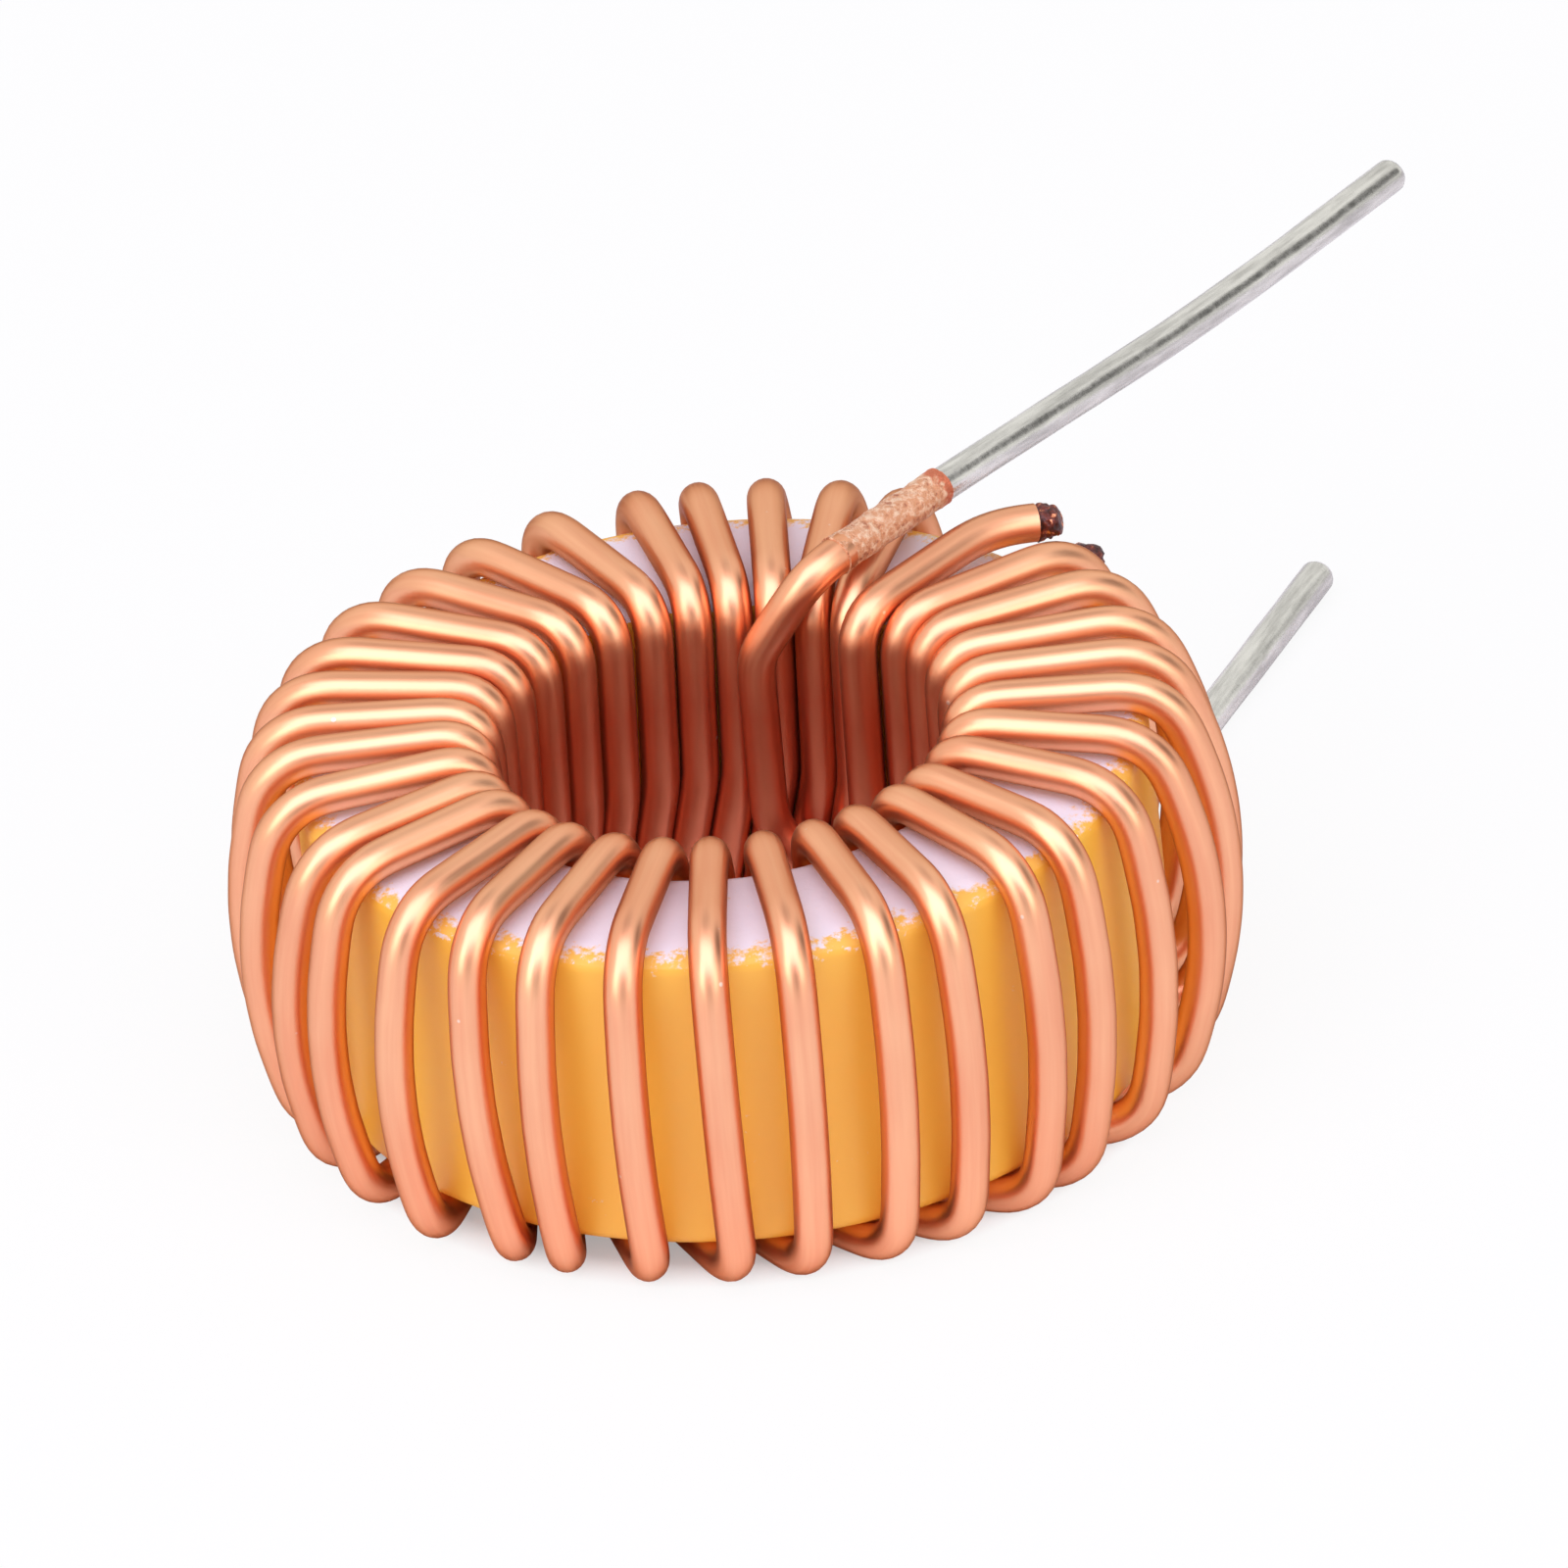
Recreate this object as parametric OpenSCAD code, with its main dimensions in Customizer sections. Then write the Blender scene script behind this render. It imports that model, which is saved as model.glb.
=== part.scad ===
// Toroidal inductor: two strands of enamelled wire wound side by side round a coated powder ring.
// The ring's axis is Z, the lowest wire surface is at z = 0, and angles are counted from +X towards +Y.

/* [Core] */
// Outer diameter of the ring, coats included
core_outer_d = 12.7; // [11:0.1:16]
// Inner diameter of the ring, coats included
core_inner_d = 7.7; // [7.7:0.1:8.5]
// Height of the ring, coats included
core_h = 4.95; // [4:0.1:7]
// Rounding of the ring's edges
core_edge = 0.25; // [0.2:0.05:0.3]
// Thickness of the white coat on the upper face
coat_t = 0.12; // [0.08:0.01:0.2]

/* [Wire] */
// Diameter of the wire over its enamel
wire_d = 0.58; // [0.45:0.01:0.58]
// Thickness of the enamel
enamel_t = 0.04; // [0.02:0.005:0.05]
// Clearance between the wire and what it lies on
seat_gap = 0.02; // [0.01:0.005:0.02]

/* [Winding] */
// How far the first passes stand off the ring's upper face
top_lift = 0.08; // [0:0.02:0.12]
// How far the later passes stand off it
late_lift = 0.04; // [0:0.02:0.12]
// How far the outer passes bow away from the ring at mid-height
bow = 0.58; // [0.4:0.02:0.7]
// How far the tauter ones among them bow
taut_bow = 0.38; // [0.3:0.02:0.5]
// How far the looser ones bow
loose_bow = 0.46; // [0.3:0.02:0.5]
// How far the looser ones stand off the ring's side besides
loose_stand = 0.08; // [0:0.02:0.12]
// Extra radius of the bends at the ring's upper outer edge
shoulder_slack = 0.42; // [0.2:0.02:0.5]
// Extra radius of the bends at the ring's lower outer edge
heel_slack = 0.2; // [0:0.05:0.3]

/* [Leads] */
// Length of the tinned end of the upper lead
upper_tin_l = 10.6; // [8:0.1:15]
// Length of the tinned end of the lower lead
lower_tin_l = 4.7; // [3:0.1:4.7]
// Thickness of the tin on the bare copper
tin_t = 0.02; // [0.02:0.005:0.04]
// Length of the tin beyond the cut end of a lead
tin_cap = 0.08; // [0.05:0.01:0.15]
// Length of the scraped stretch between the upper lead's tin and its sound enamel
scrape_l = 2; // [1:0.1:2]
// Thickness of the crumpled enamel there
scrape_t = 0.06; // [0.04:0.005:0.08]

/* [Burnt ends] */
// Length of the charred bead on a clipped end
char_l = 0.42; // [0.3:0.02:0.6]
// How far the charred bead stands proud of the wire
char_t = 0.03; // [0:0.01:0.06]

/* [Hidden] */
$fn = 48;

wire_r = wire_d / 2;
copper_r = wire_r - enamel_t;
tin_r = copper_r + tin_t;
scrape_r = copper_r + scrape_t;
char_r = wire_r + char_t;

// Centre lines of the first layer, counted from the ring's axis and mid-plane.
mid_z = wire_d + seat_gap + core_h / 2;
lay = wire_r + seat_gap;
ri = core_inner_d / 2 - lay;
ro = core_outer_d / 2 + lay;
zt = core_h / 2 + lay + top_lift;
zb = core_h / 2 + lay;
first_late = 21;
function top(n) = zt - (n < first_late ? 0 : top_lift - late_lift);

// Bends of the centre line. The corner of a bow lies further out than the bow itself, and its bend takes
// most of the pass.
bend_in = core_edge + lay;
bend_top = bend_in + shoulder_slack;
bend_low = bend_in + heel_slack;
bow_reach = 1.6;
bow_share = 0.85;
function bow_bend(corner) =
    let (slope = atan(corner / zt))
    bow_share * (norm([zt, corner]) - bend_top * tan(45 - slope / 2)) / tan(slope);
bow_corner = bow_reach * bow;
// The taut passes come before the loose ones.
first_taut = 6;
first_loose = 16;
last_loose = 24;
function side(n) = ro + (n < first_loose || n > last_loose ? 0 : loose_stand);
function corner(n) =
    bow_reach * (n < first_taut || n > last_loose ? bow : n < first_loose ? taut_bow : loose_bow);

// Angles at which the passes cross the ring's inner upper edge, in the order of winding.
crown = [
    38, 28, 17.5, 6, -6, -16, -26.5, -38.5, -49, -60.5, -71.5, -83, -95, -105.5, -116.5, -129, -139,
    -151, -161, -171, -182, -192.5, -203, -214, -225, -236, -246.5, -257, -266.8, -276.6, -286.5, -296.3, -306
];
// Angles at which the same passes cross its outer upper edge.
shoulder = [
    33.5, 24, 13, 4, -5, -17, -29, -42, -51, -63, -72, -83.5, -94.5, -105.5, -117, -127, -136.5,
    -149, -156, -169, -180, -189, -198, -207, -217, -227.5, -238, -249.5, -262, -270, -279, -289, -298
];
// Angles at which they turn in under its outer lower edge.
heel = [
    29, 19.5, 9.5, 0, -9.5, -20.5, -32, -45.5, -53.5, -64.5, -74, -85, -94.5, -105.5, -117, -124.5, -137.5,
    -150, -161, -171, -181, -190.5, -200.5, -210, -221, -232, -241.5, -252, -263, -271.5, -280, -290, -299.5
];
// Angles at which they enter the hole from below: the layer is full there, and closer on its second half.
first_foot = 36;
feet = 35;
half_way = 17;
late_pitch = 10;
early_pitch = (360 - (feet - half_way) * late_pitch) / half_way;
function foot(n) = first_foot - early_pitch * min(n, half_way) - late_pitch * max(n - half_way, 0);

// Under the ring the passes slant across to this radius and run straight in to their feet from there.
foot_run = 0.9;
under_r = ri + foot_run;
// In the hole they stand nearly upright down to this height and lean over to their feet below it.
lean_z = -0.1 * zt;
lean_top = 2.5;

// Sides of the swept wire, and steps of its bends.
sides = 8;
bend_steps = 3;
bow_steps = 2;

function unit(v) = v / norm(v);
function at(r, a, z) = [r * cos(a), r * sin(a), z];

// A path is a list of corners: [point, bend radius, steps]. A radius of 0 keeps the corner sharp.
function bend(a, b, c, bend_r, steps) =
    let (u = unit(b - a), v = unit(c - b), turn = acos(u * v), n = unit(v - (u * v) * u))
    let (centre = b - bend_r * tan(turn / 2) * u + bend_r * n)
    [for (j = [0 : steps]) centre + bend_r * (sin(turn * j / steps) * u - cos(turn * j / steps) * n)];
function trace(path) = [
    for (i = [0 : len(path) - 1])
        each path[i][1] == 0
            ? [path[i][0]]
            : bend(path[i - 1][0], path[i][0], path[i + 1][0], path[i][1], path[i][2])
];

// Corners of pass n: up through the hole, over the upper face and down the outside.
function pass(n) = [
    [at(under_r, foot(n), -zb), 0],
    [at(ri, foot(n), -zb), bend_in, bend_steps],
    [at(ri, crown[n] + lean_top, lean_z), 0],
    [at(ri, crown[n], top(n)), bend_in, bend_steps],
    [at(side(n), shoulder[n], top(n)), bend_top, bend_steps],
    [at(side(n) + corner(n), (shoulder[n] + heel[n]) / 2, 0), bow_bend(corner(n)), bow_steps],
    [at(side(n), heel[n], -zb), bend_low, bend_steps]
];

// One ring of the wire, square to the path, with its first side towards growing angles.
function ring(p, t, r) =
    let (across = unit([-p.y, p.x, 0]), n = unit(across - (across * t) * t), b = cross(t, n))
    [for (k = [0 : sides - 1]) p + r * (cos(360 * k / sides) * n + sin(360 * k / sides) * b)];

// The wire along a path. The first bare_head and the last bare_tail of its points are bare copper.
module wire(path, bare_head, bare_tail) {
    points = trace(path);
    last = len(points) - 1;
    rings = [
        for (i = [0 : last])
            let (t = unit(points[min(i + 1, last)] - points[max(i - 1, 0)]))
            let (bare = i < bare_head || i > last - bare_tail)
            let (step = i == bare_head - 1 ? [wire_r] : [])
            let (early = i == last - bare_tail + 1 && bare_tail > 0 ? [wire_r] : [])
            each [for (r = concat(early, [bare ? copper_r : wire_r], step)) ring(points[i], t, r)]
    ];
    count = len(rings);
    walls = [
        for (i = [0 : count - 2], k = [0 : sides - 1])
            let (a = i * sides + k, b = i * sides + (k + 1) % sides)
            each [[a, a + sides, b + sides], [a, b + sides, b]]
    ];
    start_cap = [for (k = [0 : sides - 1]) k];
    end_cap = [for (k = [sides - 1 : -1 : 0]) (count - 1) * sides + k];
    translate([0, 0, mid_z])
        polyhedron([for (r = rings) each r], concat([start_cap], walls, [end_cap]));
}

// Places a straight piece that is drawn along Z from the origin: from point a towards point b.
module along(a, b) {
    u = unit(b - a);
    translate([a.x, a.y, a.z + mid_z]) rotate([0, acos(u.z), atan2(u.y, u.x)]) children();
}

// Lower lead: straight out from under the ring, with one bend before it turns in to the first foot.
low_knee = at(ro + 3.36, 45.7, -zb);
low_az = 63.6;
low_bend = 1;
low_root_l = 0.25;
low_root = low_knee + at(low_root_l, low_az, 0);
low_tip = low_root + at(lower_tin_l, low_az, 0);

// Upper lead: a second layer in the hole, a slanting climb over the last passes, then outwards.
inner_r = ri - wire_d - 2 * seat_gap;
over_z = zt + wire_d + seat_gap;
climb_a = -282;
climb_low = -0.3 * zt;
climb_top = 0.72 * zt;
climb_bend = 0.75;
upper_crown = at(ri - 0.34, 60, over_z);
upper_start = at(ro - 0.59, 53.2, over_z);
upper_root_l = 6;
upper_root_az = 44.4;
upper_az = 49.4;
upper_bend = upper_start + at(upper_root_l, upper_root_az, 0);
upper_tip = upper_bend + at(upper_tin_l - upper_root_l, upper_az, 0);
scrape_start = upper_start - scrape_l * unit(upper_start - upper_crown);

last_pass = len(crown) - 1;
first_path = concat(
    [
        [low_tip - at(tin_cap, low_az, 0), 0],
        [low_root, 0],
        [low_knee, low_bend, 2]
    ],
    [for (n = [0 : 2 : last_pass]) each pass(n)],
    [
        [at(under_r, foot(last_pass + 2), -zb), 0],
        [at(inner_r, foot(last_pass + 2), -zb), bend_in, bend_steps],
        [at(inner_r, climb_a, climb_low), climb_bend, 2],
        [at(inner_r, climb_a - 0.5, climb_top), climb_bend, 2],
        [upper_crown, climb_bend, 3],
        [scrape_start, 0],
        [upper_start, 0],
        [upper_bend, 0],
        [upper_tip - at(tin_cap, upper_az, 0), 0]
    ]
);

// Second strand: from the clipped end beside the ring to the clipped end on its upper face, which lies
// in the groove between the last pass and the first.
side_a = 39.8;
side_end = at(ro + bow + 0.14, side_a, 0.64 * zt);
groove_r = ri - 0.4;
groove_a = -313.7;
upper_neck = at(ro - 0.54, 45.2, zt + 0.13);
upper_end = at(ro + 0.02, 41.8, zt + 0.04);
neck_bend = 2;
second_path = concat(
    [
        [side_end, 0],
        [at(ro + bow_corner, side_a - 1.8, 0), bow_bend(bow_corner) / 2, bow_steps],
        [at(ro, side_a - 3.6, -zb), bend_low, bend_steps]
    ],
    [for (n = [1 : 2 : last_pass - 1]) each pass(n)],
    [
        [at(under_r, foot(last_pass + 1), -zb), 0],
        [at(ri, foot(last_pass + 1), -zb), bend_in, bend_steps],
        [at(ri, groove_a + 4, -0.62 * zt), 0],
        [at(groove_r, groove_a + lean_top, -0.3 * zt), 0],
        [at(groove_r, groove_a, zt + 0.05), bend_in, bend_steps],
        [upper_neck, neck_bend, 2],
        [upper_end, 0]
    ]
);

module rounded_ring(z0, z1) {
    rotate_extrude()
        intersection() {
            union() {
                translate([core_inner_d / 2 + core_edge, 0]) square([(core_outer_d - core_inner_d) / 2 - 2 * core_edge, core_h]);
                translate([core_inner_d / 2, core_edge]) square([(core_outer_d - core_inner_d) / 2, core_h - 2 * core_edge]);
                for (x = [core_inner_d / 2 + core_edge, core_outer_d / 2 - core_edge], z = [core_edge, core_h - core_edge])
                    translate([x, z]) circle(r = core_edge);
            }
            translate([0, z0]) square([core_outer_d, z1 - z0]);
        }
}

module core() {
    color("orange") translate([0, 0, wire_d + seat_gap]) rounded_ring(0, core_h - coat_t);
}
module white_face_coat() {
    color("ghostwhite") translate([0, 0, wire_d + seat_gap]) rounded_ring(core_h - coat_t, core_h);
}
module first_strand() {
    color("sandybrown") wire(first_path, 2, 4);
}
module second_strand() {
    color("lightsalmon") wire(second_path, 0, 0);
}
// A coat on bare copper, closed over the last cap of its length. Its bore has the swept copper's sides.
module sleeve(l, r, cap) {
    difference() {
        cylinder(r = r, h = l);
        translate([0, 0, -1]) cylinder(r = copper_r, h = cap > 0 ? l + 1 - cap : l + 2, $fn = sides);
    }
}
// All that lies before the upper lead's bend, to cut the tin on its mitre.
module before_bend() {
    translate(upper_bend + [0, 0, mid_z])
        rotate([0, 0, (upper_root_az + upper_az) / 2])
            translate([-upper_tin_l, -wire_d, -wire_d]) cube([upper_tin_l, 2 * wire_d, 2 * wire_d]);
}
module upper_lead_tin() {
    color("silver") {
        intersection() {
            along(upper_start, upper_bend) sleeve(upper_root_l + wire_d, tin_r, 0);
            before_bend();
        }
        difference() {
            along(upper_bend - at(wire_d, upper_az, 0), upper_tip)
                sleeve(upper_tin_l - upper_root_l + wire_d, tin_r, tin_cap);
            before_bend();
        }
    }
}
module lower_lead_tin() {
    color("silver") along(low_root, low_tip) sleeve(lower_tin_l, tin_r, tin_cap);
}
module scraped_enamel() {
    color("tan") along(scrape_start, upper_start) sleeve(scrape_l - seat_gap, scrape_r, 0);
}
module upper_burnt_end() {
    color("maroon") along(upper_end, upper_end + (upper_end - upper_neck)) cylinder(r = char_r, h = char_l);
}
module side_burnt_end() {
    color("maroon") along(side_end, side_end + [0, 0, 1]) cylinder(r = char_r, h = char_l);
}

core();
white_face_coat();
first_strand();
second_strand();
upper_lead_tin();
lower_lead_tin();
scraped_enamel();
upper_burnt_end();
side_burnt_end();
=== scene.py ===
"""Toroidal inductor: a coated powder ring wound with two strands of enamelled copper wire.

Everything is in metres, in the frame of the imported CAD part. The ring's axis is Z, the lowest wire surface
is at z = 0, and angles are counted from +X towards +Y. Sizes in the classes are millimetres.
"""

import logging
import math
from dataclasses import dataclass, field
from enum import Enum
from typing import Any, Callable, Iterable, Optional, Sequence

import bpy
import numpy as np
from mathutils import Matrix, Vector, noise


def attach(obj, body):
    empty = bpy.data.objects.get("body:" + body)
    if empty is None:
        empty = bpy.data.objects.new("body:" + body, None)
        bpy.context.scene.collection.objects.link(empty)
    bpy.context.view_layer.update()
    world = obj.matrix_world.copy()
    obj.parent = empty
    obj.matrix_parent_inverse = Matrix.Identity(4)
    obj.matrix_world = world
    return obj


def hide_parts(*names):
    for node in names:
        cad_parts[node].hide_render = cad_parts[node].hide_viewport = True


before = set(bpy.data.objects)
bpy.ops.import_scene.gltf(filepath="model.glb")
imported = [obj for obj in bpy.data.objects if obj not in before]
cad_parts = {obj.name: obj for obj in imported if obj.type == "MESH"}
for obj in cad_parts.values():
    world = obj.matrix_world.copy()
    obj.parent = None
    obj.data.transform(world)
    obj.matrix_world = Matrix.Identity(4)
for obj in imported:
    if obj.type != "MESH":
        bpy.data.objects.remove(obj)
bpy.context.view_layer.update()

log = logging.getLogger("toroidal_inductor")
MM = 0.001
# Edges that turn by more than this many degrees stay sharp in the smooth meshes.
SHARP_FROM = 50.0
# Sides of the crust and of the burnt beads, which need a finer section than the wire.
BEAD_SIDES = 40
BODY = "root"

Point = np.ndarray
Corner = tuple[Point, float]
Swell = Callable[[float, float], float]
Line = np.ndarray
Piece = bpy.types.Object
Node = bpy.types.Node
Tree = bpy.types.NodeTree
Socket = bpy.types.NodeSocket


class Slot(Enum):
    """The record's material slots."""

    CORE_COAT = "core_coat"
    FACE_COAT = "face_coat"
    COPPER_ENAMEL = "copper_enamel"
    TIN = "tin"
    SCRAPED_ENAMEL = "scraped_enamel"
    CHAR = "char"


# ---- Small helpers ----


def srgb(text: str) -> tuple[float, float, float, float]:
    """Turns an sRGB hex colour into linear red, green, blue and an alpha of 1.

    Args:
        text: The colour as "#RRGGBB".

    Returns:
        The linear colour.
    """
    parts = [int(text[i : i + 2], 16) / 255 for i in (1, 3, 5)]
    linear = [c / 12.92 if c <= 0.04045 else ((c + 0.055) / 1.055) ** 2.4 for c in parts]
    return (linear[0], linear[1], linear[2], 1.0)


def add_node(tree: Tree, kind: str, inputs: dict[Any, Any], **settings: Any) -> Node:
    """Adds a shader node with its settings, input values and links.

    Args:
        tree: The node tree that gets the node.
        kind: The node's type, without the ShaderNode before it.
        inputs: For each input, by name or number: a value, an output that is linked to it, or a node
            whose first output in use is linked.
        **settings: The node's own properties.

    Returns:
        The new node.
    """
    made = tree.nodes.new("ShaderNode" + kind)
    for name, value in settings.items():
        setattr(made, name, value)
    for name, value in inputs.items():
        if isinstance(value, Node):
            value = next(output for output in value.outputs if output.enabled)
        if isinstance(value, Socket):
            tree.links.new(value, made.inputs[name])
        else:
            made.inputs[name].default_value = value
    return made


def per_mm(size_mm: float) -> float:
    """The texture scale, in object metres, of a pattern whose grains are size_mm across."""
    return 1.0 / (size_mm * MM)


def at(r: float, angle: float, z: float) -> Point:
    """The point at radius r, angle in degrees and height z, in millimetres."""
    a = math.radians(angle)
    return np.array([r * math.cos(a), r * math.sin(a), z])


def unit(v: Point) -> Point:
    """The vector v at length 1."""
    return v / np.linalg.norm(v)


def towards(azimuth: float, elevation: float) -> Point:
    """The unit vector of a direction in degrees; azimuth 0 is the lens side and 90 the right."""
    a, e = math.radians(azimuth), math.radians(elevation)
    return np.array([math.sin(a) * math.cos(e), -math.cos(a) * math.cos(e), math.sin(e)])


def run_length(line: Line) -> Line:
    """The length along a line from its start to each of its points."""
    return np.concatenate([[0.0], np.cumsum(np.linalg.norm(np.diff(line, axis=0), axis=1))])


def mesh_object(name: str, points: np.ndarray, faces: Iterable[Sequence[int]]) -> Piece:
    """Makes a smooth mesh object from points in millimetres.

    Args:
        name: The object's name.
        points: The vertices, one row each, in millimetres.
        faces: The faces as lists of vertex numbers.

    Returns:
        The new object, linked into the scene.
    """
    mesh = bpy.data.meshes.new(name)
    mesh.from_pydata((np.asarray(points) * MM).tolist(), [], [list(f) for f in faces])
    mesh.polygons.foreach_set("use_smooth", [True] * len(mesh.polygons))
    mesh.update()
    mesh.set_sharp_from_angle(angle=math.radians(SHARP_FROM))
    made = bpy.data.objects.new(name, mesh)
    bpy.context.scene.collection.objects.link(made)
    return made


def dress(piece: Piece, finish: "Finish", slot: Slot, node: str) -> Piece:
    """Gives a piece its material and its body, hides the CAD node that it replaces and logs its slot.

    Args:
        piece: The object to dress.
        finish: The finish that it gets.
        slot: The record's material slot.
        node: The CAD node that the piece replaces.

    Returns:
        The same object.
    """
    piece.data.materials.clear()
    piece.data.materials.append(finish.material())
    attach(piece, BODY)
    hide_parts(node)
    log.info("%s: %d vertices, slot %s", piece.name, len(piece.data.vertices), slot.value)
    return piece


# ---- Swept wire ----


@dataclass
class Sweep:
    """A round wire swept along a centre line.

    Attributes:
        line: The centre line, one point a row, in millimetres.
        radius: The radius at each point of the line.
        sides: Sides of the section.
    """

    line: Line
    radius: np.ndarray
    sides: int = 24

    def frames(self) -> tuple[Line, Line]:
        """Carries a section frame along the line without twist.

        Returns:
            The first normals and the second normals.
        """
        ahead = np.vstack([self.line[1:], self.line[-1:]])
        behind = np.vstack([self.line[:1], self.line[:-1]])
        tangent = ahead - behind
        tangent /= np.linalg.norm(tangent, axis=1)[:, None]
        first = np.zeros_like(tangent)
        upright = 1e-6
        seed = np.cross(tangent[0], [0.0, 0.0, 1.0])
        if np.linalg.norm(seed) < upright:
            seed = np.array([1.0, 0.0, 0.0])
        first[0] = unit(seed)
        for i in range(1, len(tangent)):
            n = first[i - 1] - np.dot(first[i - 1], tangent[i]) * tangent[i]
            first[i] = unit(n)
        return first, np.cross(tangent, first)

    def build(self, name: str, swell: Optional[Swell] = None) -> Piece:
        """Makes the swept mesh, with each point's place on the wire as the attribute wire_run.

        Args:
            name: The object's name.
            swell: An extra radius for a length along the wire and an angle round it.

        Returns:
            The new object.
        """
        first, second = self.frames()
        length = run_length(self.line)
        turn = np.arange(self.sides) * 2 * math.pi / self.sides
        radius = np.repeat(self.radius[:, None], self.sides, axis=1)
        if swell is not None:
            radius = radius + np.array([[swell(s, a) for a in turn] for s in length])
        cosine, sine = np.cos(turn)[None, :], np.sin(turn)[None, :]
        spokes = cosine[..., None] * first[:, None, :] + sine[..., None] * second[:, None, :]
        points = (self.line[:, None, :] + radius[:, :, None] * spokes).reshape(-1, 3)
        count, sides = len(self.line), self.sides
        faces = [
            (i + k, i + (k + 1) % sides, i + sides + (k + 1) % sides, i + sides + k)
            for i in range(0, (count - 1) * sides, sides)
            for k in range(sides)
        ]
        faces.append(tuple(range(sides - 1, -1, -1)))
        faces.append(tuple(range((count - 1) * sides, count * sides)))
        made = mesh_object(name, points, faces)
        run = np.zeros((count, sides, 3), np.float32)
        run[:, :, 0] = cosine * self.radius[:, None]
        run[:, :, 1] = sine * self.radius[:, None]
        run[:, :, 2] = length[:, None]
        attribute = made.data.attributes.new("wire_run", "FLOAT_VECTOR", "POINT")
        attribute.data.foreach_set("vector", run.reshape(-1))
        return made


def round_corners(corners: Sequence[Corner], step: float) -> Line:
    """Traces a path of corners as one even line.

    Args:
        corners: Each corner's point and bend radius; a radius of 0 keeps the corner sharp.
        step: The distance between the points of the line, in millimetres.

    Returns:
        The line, one point a row.
    """
    # The least turn that is rounded (radians), the least distance of two points (mm) and a bend's steps.
    straight, same, arc_step, fewest = 1e-4, 1e-5, 5, 4
    rough: list[Point] = []
    for i, (point, radius) in enumerate(corners):
        if radius == 0 or i in (0, len(corners) - 1):
            rough.append(point)
            continue
        u = unit(point - corners[i - 1][0])
        v = unit(corners[i + 1][0] - point)
        turn = math.acos(float(np.clip(np.dot(u, v), -1, 1)))
        if turn < straight:
            rough.append(point)
            continue
        n = unit(v - np.dot(u, v) * u)
        centre = point - radius * math.tan(turn / 2) * u + radius * n
        steps = max(fewest, int(math.degrees(turn) / arc_step))
        for j in range(steps + 1):
            a = turn * j / steps
            rough.append(centre + radius * (math.sin(a) * u - math.cos(a) * n))
    line = np.array(rough)
    line = line[np.concatenate([[True], np.linalg.norm(np.diff(line, axis=0), axis=1) > same])]
    length = run_length(line)
    count = int(length[-1] / step) + 1
    even = np.linspace(0.0, length[-1], count)
    return np.stack([np.interp(even, length, line[:, k]) for k in range(3)], axis=1)


def ease(line: Line, passes: int) -> Line:
    """Eases the changes of curvature in an even line, with its ends kept.

    Args:
        line: The line, one point a row.
        passes: How often each point moves halfway to the middle of its neighbours.

    Returns:
        The eased line.
    """
    eased = line.copy()
    for _ in range(passes):
        eased[1:-1] += 0.5 * ((eased[2:] + eased[:-2]) / 2 - eased[1:-1])
    return eased


# ---- Finishes ----


@dataclass(frozen=True)
class Finish:
    """A finish that makes its material once and shares it."""

    name: str

    def material(self) -> bpy.types.Material:
        """Gives the material, and makes it the first time that it is asked for.

        Returns:
            The material.
        """
        found = bpy.data.materials.get(self.name)
        if found is None:
            found = bpy.data.materials.new(self.name)
            found.use_nodes = True
            tree = found.node_tree
            tree.nodes.clear()
            add_node(tree, "OutputMaterial", {"Surface": self.shader(tree)})
        return found

    def shader(self, tree: Tree) -> Node:
        """Builds the shader in the tree and returns it."""
        raise NotImplementedError


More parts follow.
